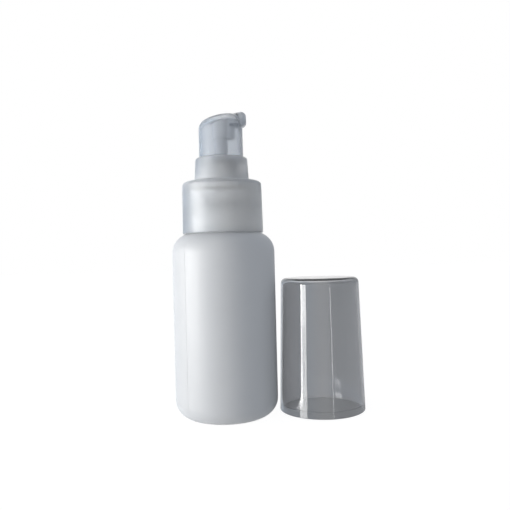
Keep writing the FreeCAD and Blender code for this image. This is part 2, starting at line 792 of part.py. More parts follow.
def make_actuator():
    """Pump head: hollow slanted cap with a stem socket, a channel web and a nozzle."""
    outer = head_blank("head_outer", as_size(0), skirt_rim, as_size(0))
    inner = head_blank("head_inner", S.skirt_wall, skirt_rim - S.press_clearance, S.head_roof)
    core = new_body("head_core")
    height = head_top_at(nozzle_end) - socket_rim
    boss_radius = stem_radius + S.fit_clearance + S.socket_wall
    half_web = S.web_width / 2
    boss = circle(core, "boss_outline", boss_radius, plane="XY_Plane", offset=socket_rim)
    pad(core, "boss", boss, height)
    web = outline(core, "web_outline", [
        (0, -half_web),
        (S.web_reach - half_web, -half_web),
        (S.web_reach, 0, half_web, LEFT),
        (S.web_reach - half_web, half_web, half_web, LEFT),
        (0, half_web),
    ], plane="XY_Plane", offset=socket_rim)
    pad(core, "web", web, height)
    hollow = combine("Part::Cut", "head_hollow", inner, core)
    shell = combine("Part::Cut", "head_shell", outer, hollow)
    with_nozzle = combine("Part::Fuse", "head_with_nozzle", shell, make_nozzle())
    outlet = S.outlet_bore / 2
    socket = pin("socket_hole", stem_radius + S.fit_clearance,
                 S.socket_depth + S.seat_clearance + S.press_clearance,
                 socket_rim - S.press_clearance)
    # The riser begins at the socket's rim, so that it reaches the channel of a lower nozzle too.
    riser = pin("riser_hole", outlet, outlet_height - socket_rim, socket_rim)
    channel = pin("channel_hole", outlet, nozzle_end + S.nozzle_overhang, outlet_height,
                  along_x=True)
    recess = pin("recess_hole", S.outlet_recess / 2, S.nozzle_overhang, outlet_height,
                 along_x=True)
    bind(recess, "Placement.Base.x", nozzle_end - S.recess_depth)
    holes = doc.addObject("Part::MultiFuse", "head_holes")
    holes.Shapes = [socket, riser, channel, recess]
    actuator = combine("Part::Cut", "actuator", with_nozzle, holes)
    actuator.Label = "actuator"
    return actuator


def make_overcap():
    """Overcap, taken off and standing mouth down beside the bottle."""
    edge = S.cap_edge_radius
    inner_edge = edge - S.cap_wall
    roof_under = S.cap_height - S.cap_roof
    body = turned_part("overcap", [
        (0, roof_under),
        (cap_top_inner - inner_edge, roof_under),
        (cap_top_inner, roof_under - inner_edge, inner_edge, RIGHT),
        (cap_mouth_inner, S.cap_ledge_height),
        (cap_mouth_inner + S.cap_ledge_depth, S.cap_ledge_height),
        (cap_mouth_inner + S.cap_ledge_depth, 0),
        (cap_mouth_outer - S.cap_rim_round, 0),
        (cap_mouth_outer, S.cap_rim_round, S.cap_rim_round, LEFT),
        (cap_top_outer, S.cap_height - edge),
        (cap_top_outer - edge, S.cap_height, edge, LEFT),
        (0, S.cap_height),
    ])
    apart = body_radius + cap_mouth_outer + S.cap_gap
    aside = root(apart * apart - S.cap_setback * S.cap_setback)
    bind(body, "Placement.Base.x", aside)
    bind(body, "Placement.Base.y", S.cap_setback)
    return body


def biarc(start, heading, end, final_heading):
    """Two arcs that leave start along heading and reach end along final_heading."""
    chord = end - start
    both = heading + final_heading
    lead = 2 * (1 - heading.dot(final_heading))
    slack = chord.dot(both)
    reach = (math.sqrt(slack ** 2 + lead * chord.dot(chord)) - slack) / lead
    middle = (start + heading * reach + end - final_heading * reach) * 0.5
    return [tangent_arc(start, heading, middle), tangent_arc(end, final_heading * -1, middle, True)]


def tangent_arc(start, heading, end, backwards=False):
    """Arc that leaves start along heading and reaches end."""
    chord = end - start
    inward = chord - heading * chord.dot(heading)
    inward.normalize()
    radius = chord.dot(chord) / (2 * inward.dot(chord))
    centre = start + inward * radius
    bisector = (start - centre) + (end - centre)
    bisector.normalize()
    middle = centre + bisector * radius
    if backwards:
        return Part.Arc(end, middle, start)
    return Part.Arc(start, middle, end)


def make_spring():
    """Return spring: one wire wound with close end turns and wider working turns."""
    arcs_per_turn = 4
    samples_per_turn = 48
    wire = S.spring_wire.value
    mean_radius = stop_radius.value - wire / 2 - S.flange_overlap.value
    end_pitch = wire + S.spring_end_gap.value
    active = S.spring_active_turns.value
    height = S.spring_length.value - wire
    pitch = (height - 2 * end_pitch) / active
    bottom = spring_end.value + wire / 2
    turns = active + 2

    def rise(turned):
        return (end_pitch * min(turned, 1) + pitch * min(max(turned - 1, 0), active)
                + end_pitch * max(turned - 1 - active, 0))

    def place(turned):
        angle = 2 * math.pi * turned
        return Vector(mean_radius * math.cos(angle), mean_radius * math.sin(angle),
                      bottom + rise(turned))

    def heading(turned):
        step = 1 / arcs_per_turn
        angle = 2 * math.pi * turned
        before = max(turned - step, 0)
        after = min(turned + step, turns)
        climb = (rise(after) - rise(before)) / (after - before)
        run = 2 * math.pi * mean_radius
        return Vector(-run * math.sin(angle), run * math.cos(angle), climb).normalize()

    edges = []
    for number in range(round(turns * arcs_per_turn)):
        start = number / arcs_per_turn
        end = (number + 1) / arcs_per_turn
        for arc in biarc(place(start), heading(start), place(end), heading(end)):
            edges.append(arc.toShape())
    path = Part.Wire(edges)
    ring = Part.Wire([Part.makeCircle(wire / 2, place(0), heading(0))])
    shell = Part.BRepOffsetAPI.MakePipeShell(path)
    shell.add(ring)
    shell.build()
    shell.makeSolid()
    tube = shell.shape()
    expected = math.pi * wire ** 2 / 4 * path.Length
    samples = [place(number / samples_per_turn)
               for number in range(round(turns * samples_per_turn) + 1)]
    least = min((one - other).Length for index, one in enumerate(samples)
                for other in samples[index + samples_per_turn // 2:]) - wire
    print(f"return_spring volume {tube.Volume:.3f} of {expected:.3f}, least gap {least:.3f}")
    spring = doc.addObject("Part::Feature", "return_spring")
    spring.Label = "return_spring"
    spring.Shape = tube
    spring.Placement = FreeCAD.Placement()
    return spring


NODES = [
    make_bottle(),
    make_collar(),
    make_gasket(),
    make_housing(),
    make_guide(),
    make_stem(),
    make_piston(),
    make_plug(),
    make_spring(),
    make_ball(),
    make_tube(),
    make_actuator(),
    make_overcap(),
]
doc.recompute()

for item in doc.Objects:
    if "Invalid" in item.State or "Error" in item.State:
        raise RuntimeError(f"{item.Name} did not build: {item.State}")
for node in NODES:
    if node.Shape.isNull() or not node.Shape.isValid():
        raise RuntimeError(f"{node.Label} has no valid shape")
    if len(node.Shape.Solids) != 1:
        raise RuntimeError(f"{node.Label} has {len(node.Shape.Solids)} solids")

os.makedirs("parts", exist_ok=True)
for node in NODES:
    node.Shape.exportStep(f"parts/{node.Label}.step")
    print(f"{node.Label} volume {node.Shape.Volume:.2f}")
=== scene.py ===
# Looks of the pump oil bottle, laid out as a Blender add-on and run as a script.
import math
from collections import namedtuple

import bmesh
import bpy
from bpy.props import FloatProperty, FloatVectorProperty, IntProperty, PointerProperty
from mathutils import Matrix, Vector


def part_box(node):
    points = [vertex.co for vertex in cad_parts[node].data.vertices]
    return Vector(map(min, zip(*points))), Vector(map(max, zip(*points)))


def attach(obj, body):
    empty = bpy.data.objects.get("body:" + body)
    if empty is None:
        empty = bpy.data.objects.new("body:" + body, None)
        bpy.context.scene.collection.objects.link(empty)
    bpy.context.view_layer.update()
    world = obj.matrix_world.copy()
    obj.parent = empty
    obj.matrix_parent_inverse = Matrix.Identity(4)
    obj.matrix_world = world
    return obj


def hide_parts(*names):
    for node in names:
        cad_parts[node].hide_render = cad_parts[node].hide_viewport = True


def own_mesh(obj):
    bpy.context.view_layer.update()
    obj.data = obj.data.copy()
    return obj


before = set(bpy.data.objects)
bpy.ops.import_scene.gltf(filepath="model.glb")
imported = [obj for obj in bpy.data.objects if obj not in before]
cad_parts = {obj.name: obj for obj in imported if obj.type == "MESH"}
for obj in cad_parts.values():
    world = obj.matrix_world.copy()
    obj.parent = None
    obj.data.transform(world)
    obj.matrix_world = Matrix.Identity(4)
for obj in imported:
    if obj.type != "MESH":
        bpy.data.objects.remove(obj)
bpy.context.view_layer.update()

bl_info = {
    "name": "Pump Oil Bottle",
    "version": (1, 0, 0),
    "blender": (4, 5, 0),
    "location": "3D View > Sidebar > Oil Bottle",
    "description": "Builds a white pump bottle, its translucent pump and its clear overcap",
    "category": "Add Mesh",
}

MM = 0.001
UP = Vector((0, 0, 1))

# Roundings of moulded edges, from hardly broken to soft
CRISP_EDGE = 0.05 * MM
FINE_EDGE = 0.1 * MM
SMALL_EDGE = 0.15 * MM
PLAIN_EDGE = 0.2 * MM
SOFT_EDGE = 0.25 * MM
FULL_EDGE = 0.3 * MM

# Steps round the axis, and sides of the spring's wire
TURN_STEPS = 128
BOTTLE_HALF_STEPS = 96
COLLAR_STEPS = 144
CAP_STEPS = 142
THREAD_STEPS = 96
SPRING_STEPS = 40
WIRE_SIDES = 12

# Distances within which vertices are one, or lie on a seam
MERGE = 0.001 * MM
NODE_MERGE = 0.0005 * MM
ON_SEAM = 0.01 * MM

# Roughness that slow flow marks add to moulded polypropylene
FLOW_DULLNESS = 0.06

# A lug is this much deeper than it shows, so that it joins the wall
LUG_OVERLAP = 1.1

# Place where a moulding is thick and so looks cloudy: within inner of its middle, measured along
# the axes, only the share clear of the light passes; from outer on the plastic is as elsewhere.
Thick = namedtuple("Thick", "middle axes inner outer clear")


# Settings

def linear(code):
    """Linear colour of an sRGB hex value such as #E8EAEC."""
    parts = [int(code[place:place + 2], 16) / 255 for place in (1, 3, 5)]
    return tuple(p / 12.92 if p <= 0.04045 else ((p + 0.055) / 1.055) ** 2.4 for p in parts)


def length(name, description, millimetres):
    """Length setting, written in millimetres and kept in metres."""
    return FloatProperty(name=name, description=description, default=millimetres * MM,
                         min=0.0, precision=5, unit="LENGTH")


def turn(name, description, degrees):
    """Angle setting, written in degrees."""
    return FloatProperty(name=name, description=description, default=math.radians(degrees),
                         subtype="ANGLE", unit="ROTATION")


def share(name, description, value):
    """Setting between 0 and 1."""
    return FloatProperty(name=name, description=description, default=value,
                         min=0.0, max=1.0, subtype="FACTOR")


def colour(name, description, code):
    """Colour setting, written as an sRGB hex value."""
    return FloatVectorProperty(name=name, description=description, default=linear(code),
                               min=0.0, max=1.0, size=3, subtype="COLOR")


class BottleSizes(bpy.types.PropertyGroup):
    """Sizes of the blow-moulded bottle that the frame's boxes don't give."""

    wall: length("Wall", "Blow-moulded wall", 1.0)
    base_corner: length("Base corner", "Rounding where the body turns into the base", 6.0)
    stand_ring: length("Stand ring", "Flat ring that the bottle stands on", 1.6)
    pushup: length("Push-up", "Rise of the hollow under the base", 1.2)
    shoulder_radius: length("Shoulder radius", "Quarter round from the body up to the neck", 7.0)
    shoulder_height: length("Shoulder height", "Crown of the shoulder above the table", 64.3)
    neck_radius: length("Neck radius", "Neck without its thread", 10.7)
    neck_wall: length("Neck wall", "Wall of the neck", 1.5)
    thread_pitch: length("Thread pitch", "Rise of the thread in one turn", 3.175)
    thread_depth: length("Thread depth", "Height of the thread over the neck", 1.2)
    thread_sink: share("Thread sink", "Share of the neck's wall that the thread is sunk into", 0.25)
    thread_root: share("Thread root", "Share of the pitch that the thread's foot takes", 0.7)
    thread_tip: share("Thread tip", "Share of the pitch that the thread's crest takes", 0.25)
    thread_lead_in: length("Thread lead-in", "From the lip to the thread's upper end", 2.2)
    thread_turns: FloatProperty(name="Thread turns", description="Turns of thread on the neck",
                                default=1.5, min=0.5, max=4.0)
    seam_angle: turn("Seam angle", "Mould seam, left of the front", 43.0)
    seam_width: length("Seam width", "Mould seam across", 0.24)
    seam_height: length("Seam height", "Height of the mould seam over the body", 0.09)


class PumpSizes(bpy.types.PropertyGroup):
    """Sizes of the collar, head, stem guide and spring that the frame's boxes don't give."""

    collar_inner: length("Collar bore", "Radius inside the collar's skirt", 12.15)
    collar_draft: length("Collar draft", "Growth of the collar's radius from top to rim", 0.24)
    collar_edge: length("Collar edge", "Rounding of the collar's upper edge", 1.3)
    collar_top: length("Collar top", "Top of the collar's plate above the table", 82.05)
    plate: length("Plate", "Thickness of the collar's top plate", 1.2)
    plate_hole: length("Plate hole", "Radius of the hole in the top plate", 6.92)
    rim_slope: length("Rim slope", "Drop of the rim from inside to outside", 0.53)
    rim_round: length("Rim round", "Rounding of the collar's lower edge", 0.3)
    thread_crest: length("Thread crest", "Radius inside the collar's thread", 10.95)
    thread_start: length("Thread start", "Middle of the thread's lower end above the table", 70.35)
    thread_sink: length("Thread sink", "Depth that the thread is sunk into the collar", 0.1)
    thread_root: share("Thread root", "Share of the pitch that the thread's foot takes", 0.45)
    thread_tip: share("Thread tip", "Share of the pitch that the thread's crest takes", 0.2)
    lug_count: IntProperty(name="Lugs", description="Small lugs inside the collar's rim",
                           default=12, min=0, max=48)
    lug_width: length("Lug width", "Lug across", 1.2)
    lug_depth: length("Lug depth", "Lug inwards", 0.4)
    lug_height: length("Lug height", "Lug upwards", 1.2)
    tower_inner: length("Tower bore", "Radius inside the tower", 8.14)
    tower_wall: length("Tower wall", "Tower wall at its top", 1.0)
    tower_draft: length("Tower draft", "Growth of the tower's radius from top to foot", 0.5)
    tower_edge: length("Tower edge", "Rounding of the tower's upper edge and foot", 0.8)
    edge_reach: length("Edge reach", "Thick plastic above and below the collar's upper edge", 4.0)
    head_core: share("Head core", "Share of the head's radius that its socket and web stay in", 0.8)
    core_lean: turn("Core lean", "Most that the walls of socket and web lean", 30.0)
    nozzle_drop: length("Nozzle drop", "Middle of the nozzle under the head's top", 2.9)
    nozzle_solid: length("Nozzle solid", "Solid plastic round the nozzle's end", 3.5)
    nozzle_reach: length("Nozzle reach", "Thick plastic round the nozzle's end", 5.0)
    guide_wall: length("Guide wall", "Wall of the stem guide", 0.9)
    guide_roof: length("Guide roof", "Roof of the stem guide", 1.0)
    guide_foot: length("Guide foot", "Straight foot inside the stem guide", 4.0)
    guide_draft: length("Guide draft", "Loss of the guide's radius from foot to top", 0.5)
    guide_edge: length("Guide edge", "Rounding of the guide's upper edge", 1.6)
    sleeve_inner: length("Sleeve bore", "Radius of the sleeve that the stem slides in", 2.31)
    sleeve_length: length("Sleeve", "Length of that sleeve under the guide's roof", 4.6)
    spring_wire: length("Spring wire", "Wire of the return spring", 0.7)
    spring_end_pitch: length("End pitch", "Rise of the spring's first and last turn", 1.2)
    spring_turns: IntProperty(name="Spring turns", description="Working turns of the spring",
                              default=5, min=2, max=12)


class CapSizes(bpy.types.PropertyGroup):
    """Sizes of the overcap that the frame's box doesn't give."""

    wall: length("Wall", "Wall of the overcap", 0.9)
    roof: length("Roof", "Top of the overcap", 1.1)
    draft: length("Draft", "Loss of the cap's radius from mouth to top", 1.4)
    edge: length("Edge", "Rounding of the cap's upper edge", 2.0)
    rim_round: length("Rim round", "Rounding of the cap's mouth", 0.25)
    ledge_height: length("Ledge height", "Height of the relief inside the mouth", 2.4)
    ledge_depth: length("Ledge depth", "Depth of that relief", 0.25)
    weld_angle: turn("Weld angle", "Weld line, right of the front", 8.0)
    weld_width: length("Weld width", "Weld line across", 0.24)
    weld_height: length("Weld height", "Height of the weld line over the cap", 0.09)


class Finishes(bpy.types.PropertyGroup):
    """Colours of the plastics and metals, and the light that thick places pass."""

    bottle_white: colour("Bottle white", "Satin white polyethylene", "#EDEDED")
    collar_natural: colour("Collar natural", "Translucent natural polypropylene", "#FFFFFF")
    head_natural: colour("Head natural", "Clearer polypropylene of the head", "#ECEFF3")
    pump_milky: colour("Pump milky", "Milky polypropylene inside the pump", "#FAFAFA")
    guide_natural: colour("Guide natural", "Thick natural polypropylene of the guide", "#ECEDEE")
    cap_clear: colour("Cap clear", "Clear plastic with a faint grey cast", "#C5C6C8")
    piston_white: colour("Piston white", "Soft white polyethylene", "#E6E7E6")
    foam_grey: colour("Foam", "Closed-cell sealing foam", "#D9D9D4")
    tube_natural: colour("Tube natural", "Extruded natural polyethylene", "#D6DADC")
    steel: colour("Steel", "Drawn stainless steel", "#B9BABC")
    edge_clear: share("Edge clear", "Light that passes the collar's thick upper edge", 0.5)
    nozzle_clear: share("Nozzle clear", "Light that passes the solid nozzle", 0.3)


class StageSettings(bpy.types.PropertyGroup):
    """Camera, lights and floor."""

    lens: FloatProperty(name="Lens", description="Focal length on a 36 mm wide sensor",
                        default=39.5, unit="CAMERA")
    camera_aside: length("Camera aside", "Camera right of the bottle's axis", 11.1)
    camera_back: length("Camera back", "Camera in front of the bottle's axis", 198.5)
    camera_height: length("Camera height", "Camera above the table", 56.1)
    camera_roll: turn("Camera roll", "Lean of the picture", 1.45)
    camera_near: length("Camera near", "Nearest thing that the camera shows", 10.0)
    light_distance: length("Light distance", "Lights from the bottle", 450.0)
    key_angle: turn("Key angle", "Soft key light, left of the camera", 73.0)
    key_width: length("Key width", "Key light across", 260.0)
    key_low: length("Key depth", "Lower edge of the key light under the table", 100.0)
    key_high: length("Key height", "Upper edge of the key light above the table", 160.0)
    key_power: FloatProperty(name="Key power", description="Power of the key light",
                             default=1.8, min=0.0, unit="POWER")
    strip_angle: turn("Strip angle", "Strip light, left of the camera", 55.0)
    strip_width: length("Strip width", "Strip light across", 175.0)
    strip_low: length("Strip depth", "Lower edge of the strip light under the table", 140.0)
    strip_high: length("Strip height", "Upper edge of the strip light above the table", 60.0)
    strip_power: FloatProperty(name="Strip power", description="Power of the strip light",
                               default=0.8, min=0.0, unit="POWER")
    light_tint: colour("Light tint", "Tint of the light from the left", "#FFFEFC")
    ambient: share("Ambient", "Grey surroundings that light the shaded side", 0.25)
    ambient_fill: share("Ambient fill", "Brighter part of those surroundings, above and right", 0.52)
    fill_from: FloatVectorProperty(name="Fill from", description="Direction of the brighter part",
                                   default=(0.7, 0.3, 0.65), size=3, subtype="DIRECTION")
    ambient_tint: colour("Ambient tint", "Tint of those surroundings", "#ECF4FF")
    left_tint: colour("Left tint", "What reflections show at the far left", "#D8E8FA")
    right_tint: colour("Right tint", "What reflections show at the far right", "#A6AAB0")
    side_start: share("Side start", "Sine of the angle at which those tints begin", 0.1)
    side_full: share("Side full", "Sine of the angle at which they are full", 0.6)
    floor_size: length("Floor", "Side of the square floor", 4000.0)
    floor_gap: length("Floor gap", "Floor under the bottle's base", 0.02)
    floor_tone: share("Floor tone", "Brightness of the floor's matt part", 0.9)
    floor_glow: FloatProperty(name="Floor glow", description="Strength of the floor's plain white",
                              default=1.13, min=0.0)
    floor_white: share("Floor white", "Share of plain white in the floor", 0.85)
    floor_through: share("Floor through", "That share where the floor shows through plastic", 0.6)
    # Painted shade: inside the overcap's mouth the floor's plain white drops to this share for rays
    # through plastic, which paints a darker disc under the cap
    painted_shade_white: share("Floor inside", "That share inside the overcap, which shades the floor", 0.15)


GROUPS = {
    "oil_bottle_sizes": BottleSizes,
    "oil_bottle_pump": PumpSizes,
    "oil_bottle_cap": CapSizes,
    "oil_bottle_finishes": Finishes,
    "oil_bottle_stage": StageSettings,
}


# Mesh helpers

def rounded(corners, closed=True, steps=8):
    """Outline of (radius, height) corners; a third number rounds that corner by its radius."""
    points = []
    count = len(corners)
    for index, corner in enumerate(corners):
        here = Vector(corner[:2])
        inside = closed or 0 < index < count - 1
        if len(corner) == 2 or not inside:
            points.append(here)
            continue
        radius = corner[2]
        back = (Vector(corners[index - 1][:2]) - here).normalized()
        ahead = (Vector(corners[(index + 1) % count][:2]) - here).normalized()
        half = back.angle(ahead) / 2
        middle = here + (back + ahead).normalized() * radius / math.sin(half)
        first = here + back * radius / math.tan(half) - middle
        last = here + ahead * radius / math.tan(half) - middle
        sweep = first.angle_signed(last)
        for step in range(steps + 1):
            points.append(middle + Matrix.Rotation(-sweep * step / steps, 2) @ first)
    return points


def dish(radius, rise, steps=10):
    """Points of a shallow dome from the axis, at height rise, out to radius at height 0."""
    sphere = (radius ** 2 + rise ** 2) / (2 * rise)
    points = []
    for step in range(steps + 1):
        place = radius * step / steps
        points.append(Vector((place, math.sqrt(sphere ** 2 - place ** 2) - sphere + rise)))
    return points


def draw(bm, points, closed, angle=0.0):
    """Vertices and edges of an outline in the upright plane at an angle about the z axis."""
    spot = Matrix.Rotation(angle, 3, "Z")
    verts = [bm.verts.new(spot @ Vector((p[0], 0, p[1]))) for p in points]
    pairs = list(zip(verts, verts[1:]))
    if closed:
        pairs.append((verts[-1], verts[0]))
    return verts + [bm.edges.new(pair) for pair in pairs]


def spin(bm, geom, sectors):
    """Spin an outline about the z axis through sectors of (angle, steps), which make one turn."""
    for angle, steps in sectors:
        done = bmesh.ops.spin(bm, geom=geom, cent=(0, 0, 0), axis=UP, angle=angle, steps=steps,
                              use_merge=len(sectors) == 1)
        geom = done["geom_last"]


def clean(bm):
    """Merge doubles, then point every face outwards."""
    bmesh.ops.remove_doubles(bm, verts=bm.verts, dist=MERGE)
    bmesh.ops.dissolve_degenerate(bm, edges=bm.edges, dist=MERGE)
    bmesh.ops.recalc_face_normals(bm, faces=bm.faces)


def turned(points, closed=True, steps=TURN_STEPS):
    """Solid of revolution from an outline."""
    bm = bmesh.new()
    spin(bm, draw(bm, points, closed), [(math.tau, steps)])
    clean(bm)
    return bm


def raise_seam(bm, angle, height):
    """Raise the outline at an angle about the z axis, on the outside; it dies out underneath."""
    bm.normal_update()
    along = Vector((math.cos(angle), math.sin(angle), 0))
    for vert in bm.verts:
        out = Vector((vert.co.x, vert.co.y, 0))
        on_line = out.dot(along) > 0 and abs(out.cross(along).z) < ON_SEAM
        upright = max(0.0, vert.normal.dot(along))
        if on_line:
            vert.co += vert.normal * height * upright ** 2


def add_helix(bm, section, rise, turns):
    """Wind a closed section round the z axis and cap its two ends."""
    geom = draw(bm, section, closed=True)
    steps = round(turns * THREAD_STEPS)
    first = [edge for edge in geom if isinstance(edge, bmesh.types.BMEdge)]
    done = bmesh.ops.spin(bm, geom=geom, cent=(0, 0, 0), axis=UP, angle=math.tau * turns,
                          dvec=UP * (rise / steps), steps=steps)
    last = [edge for edge in done["geom_last"] if isinstance(edge, bmesh.types.BMEdge)]
    for loop in (first, last):
        bmesh.ops.contextual_create(bm, geom=loop)


def fused(bm, extra):
    """Union of two closed shapes, so that light crosses no inner walls."""
    parts = []
    for shape in (bm, extra):
        mesh = bpy.data.meshes.new("part")
        shape.to_mesh(mesh)
        shape.free()
        parts.append(bpy.data.objects.new("part", mesh))
        bpy.context.scene.collection.objects.link(parts[-1])
    union = parts[0].modifiers.new("Union", "BOOLEAN")
    union.operation = "UNION"
    union.solver = "EXACT"
    union.object = parts[1]
    whole = bmesh.new()
    whole.from_object(parts[0], bpy.context.evaluated_depsgraph_get())
    for part in parts:
        bpy.data.meshes.remove(part.data)
    return whole


def ridge(root_radius, crest_radius, middle, root_width, crest_width):
    """Trapezoid section of a thread ridge."""
    return [
        (root_radius, middle - root_width / 2),
        (crest_radius, middle - crest_width / 2),
        (crest_radius, middle + crest_width / 2),
        (root_radius, middle + root_width / 2),
    ]


def place(bm, name, body, node, slot, material, sharp=35.0):
    """Turn a bmesh into a smooth-shaded piece that stands for a node and rides on its body."""
    mesh = bpy.data.meshes.new(name)
    bm.to_mesh(mesh)
    bm.free()
    mesh.polygons.foreach_set("use_smooth", [True] * len(mesh.polygons))
    mesh.set_sharp_from_angle(angle=math.radians(sharp))
    mesh.materials.append(material)
    piece = bpy.data.objects.new(name, mesh)
    bpy.context.scene.collection.objects.link(piece)
    weights = piece.modifiers.new("Even shading", "WEIGHTED_NORMAL")
    weights.keep_sharp = True
    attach(piece, body)
    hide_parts(node)
    return piece


def copy_of(node):
    """Bmesh copy of a node's mesh with its loose triangles joined."""
    bm = bmesh.new()
    bm.from_mesh(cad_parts[node].data)
    bmesh.ops.remove_doubles(bm, verts=bm.verts, dist=NODE_MERGE)
    return bm


def cap_mouth():
    """Middle of the overcap's mouth on the table, and its radius."""
    low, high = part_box("overcap")
    return Vector(((low.x + high.x) / 2, (low.y + high.y) / 2, 0)), (high.x - low.x) / 2


# Materials

def add(tree, kind, values=None, links=None, **settings):
    """Add a shader node with its settings, its socket values and the sockets that feed it."""
    node = tree.nodes.new(kind)
    for key, value in settings.items():
        setattr(node, key, value)
    for socket, value in (values or {}).items():
        node.inputs[socket].default_value = value
    for socket, source in (links or {}).items():
        tree.links.new(source, node.inputs[socket])
    return node


def new_material(name):
    """Empty node material and its output node."""
    material = bpy.data.materials.new(name)
    material.use_nodes = True
    tree = material.node_tree
    tree.nodes.clear()
    return material, tree, add(tree, "ShaderNodeOutputMaterial")


def rgba(tint, level=1.0):
    """Socket colour from a setting, scaled."""
    return (tint[0] * level, tint[1] * level, tint[2] * level, 1.0)


def white_hdpe(tint):
    """Satin white HDPE, blow-moulded.

    It reads as a soft white with a broad dull sheen; faint upright die lines and a fine orange
    peel break the sheen up.
    """
    material, tree, output = new_material("white_hdpe_blow_moulded")
    place_on = add(tree, "ShaderNodeTexCoord").outputs["Object"]
    # Die lines every 1.5 mm or so round the body, drawn out along the bottle.
    lines_place = add(tree, "ShaderNodeMapping", {"Scale": (1 / 1.5, 1 / 1.5, 1 / 60)},
                      {"Vector": place_on})
    lines = add(tree, "ShaderNodeTexNoise", {"Scale": 1 / MM, "Detail": 3.0, "Roughness": 0.6},
                {"Vector": lines_place.outputs["Vector"]})
    # Orange peel about 0.9 mm across.
    peel = add(tree, "ShaderNodeTexNoise", {"Scale": 1 / (0.9 * MM), "Detail": 2.0},
               {"Vector": place_on})
    # Cloudy change of tone over about 15 mm.
    cloud = add(tree, "ShaderNodeTexNoise", {"Scale": 1 / (15 * MM), "Detail": 2.0},
                {"Vector": place_on})
    tone = add(tree, "ShaderNodeValToRGB", links={"Fac": cloud.outputs["Fac"]})
    tone.color_ramp.elements[0].color = rgba(tint, 0.95)
    tone.color_ramp.elements[1].color = rgba(tint, 1.0)
    dull = add(tree, "ShaderNodeMapRange", {"To Min": 0.42, "To Max": 0.56},
               {"Value": lines.outputs["Fac"]})
    line_bump = add(tree, "ShaderNodeBump", {"Strength": 0.12, "Distance": 0.05 * MM},
                    {"Height": lines.outputs["Fac"]})
    peel_bump = add(tree, "ShaderNodeBump", {"Strength": 0.1, "Distance": 0.04 * MM},
                    {"Height": peel.outputs["Fac"], "Normal": line_bump.outputs["Normal"]})
    shader = add(tree, "ShaderNodeBsdfPrincipled",
                 {"IOR": 1.54, "Specular IOR Level": 0.9, "Subsurface Weight": 0.2,
                  "Subsurface Radius": (1.2, 1.2, 1.2), "Subsurface Scale": 1 * MM},
                 {"Base Color": tone.outputs["Color"], "Roughness": dull.outputs["Result"],
                  "Normal": peel_bump.outputs["Normal"]})
    tree.links.new(shader.outputs["BSDF"], output.inputs["Surface"])
    return material


def moulded_pp(name, tint, clear, dull, haze=0.0, absorb=0.0, thick=None):
    """Unpigmented polypropylene, injection moulded.

    It lets light through but blurs what is behind it, with a soft gloss on top; slow flow marks
    change its cloudiness a little, and it darkens where the eye looks along a wall. Haze is the
    share of a broad sheen on top, absorb the loss of light per metre. Thick is a place where the
    plastic is cloudier.
    """
    material, tree, output = new_material(name)
    place_on = add(tree, "ShaderNodeTexCoord").outputs["Object"]
    # Flow marks about 4 mm apart, drawn out upwards from the gate.
    flow_place = add(tree, "ShaderNodeMapping", {"Scale": (1 / 4, 1 / 4, 1 / 14)},
                     {"Vector": place_on})
    flow = add(tree, "ShaderNodeTexNoise", {"Scale": 1 / MM, "Detail": 3.0},
               {"Vector": flow_place.outputs["Vector"]})
    tone = add(tree, "ShaderNodeValToRGB", links={"Fac": flow.outputs["Fac"]})
    tone.color_ramp.elements[0].color = rgba(tint, 0.98)
    tone.color_ramp.elements[1].color = rgba(tint, 1.0)
    gloss = add(tree, "ShaderNodeMapRange", {"To Min": dull, "To Max": dull + FLOW_DULLNESS},
                {"Value": flow.outputs["Fac"]})
    wave = add(tree, "ShaderNodeBump", {"Strength": 0.02, "Distance": 0.05 * MM},
               {"Height": flow.outputs["Fac"]})
    shader = add(tree, "ShaderNodeBsdfPrincipled",
                 {"IOR": 1.49, "Transmission Weight": clear, "Coat Weight": haze,
                  "Coat Roughness": 0.55},
                 {"Base Color": tone.outputs["Color"], "Roughness": gloss.outputs["Result"],
                  "Normal": wave.outputs["Normal"]})
    tree.links.new(shader.outputs["BSDF"], output.inputs["Surface"])
    if thick:
        part = add(tree, "ShaderNodeVectorMath", {1: thick.axes}, {0: place_on},
                   operation="MULTIPLY")
        away = add(tree, "ShaderNodeVectorMath", {1: thick.middle}, {0: part.outputs["Vector"]},
                   operation="DISTANCE")
        depth = add(tree, "ShaderNodeMapRange",
                    {"From Min": thick.inner, "From Max": thick.outer,
                     "To Min": thick.clear, "To Max": clear},
                    {"Value": away.outputs["Value"]}, interpolation_type="SMOOTHSTEP")
        tree.links.new(depth.outputs["Result"], shader.inputs["Transmission Weight"])
    if absorb:
        # Blue passes a little better than red, so thick edges look cool.
        inside = add(tree, "ShaderNodeVolumeAbsorption",
                     {"Color": rgba(linear("#006180")), "Density": absorb})
        tree.links.new(inside.outputs["Volume"], output.inputs["Volume"])
    return material


def milky_pp(context):
    """Milky polypropylene, made once and shared by the thick pieces inside the pump."""
    name = "milky_pp_moulded"
    tint = context.scene.oil_bottle_finishes.pump_milky
    return bpy.data.materials.get(name) or moulded_pp(name, tint, clear=0.08, dull=0.3)


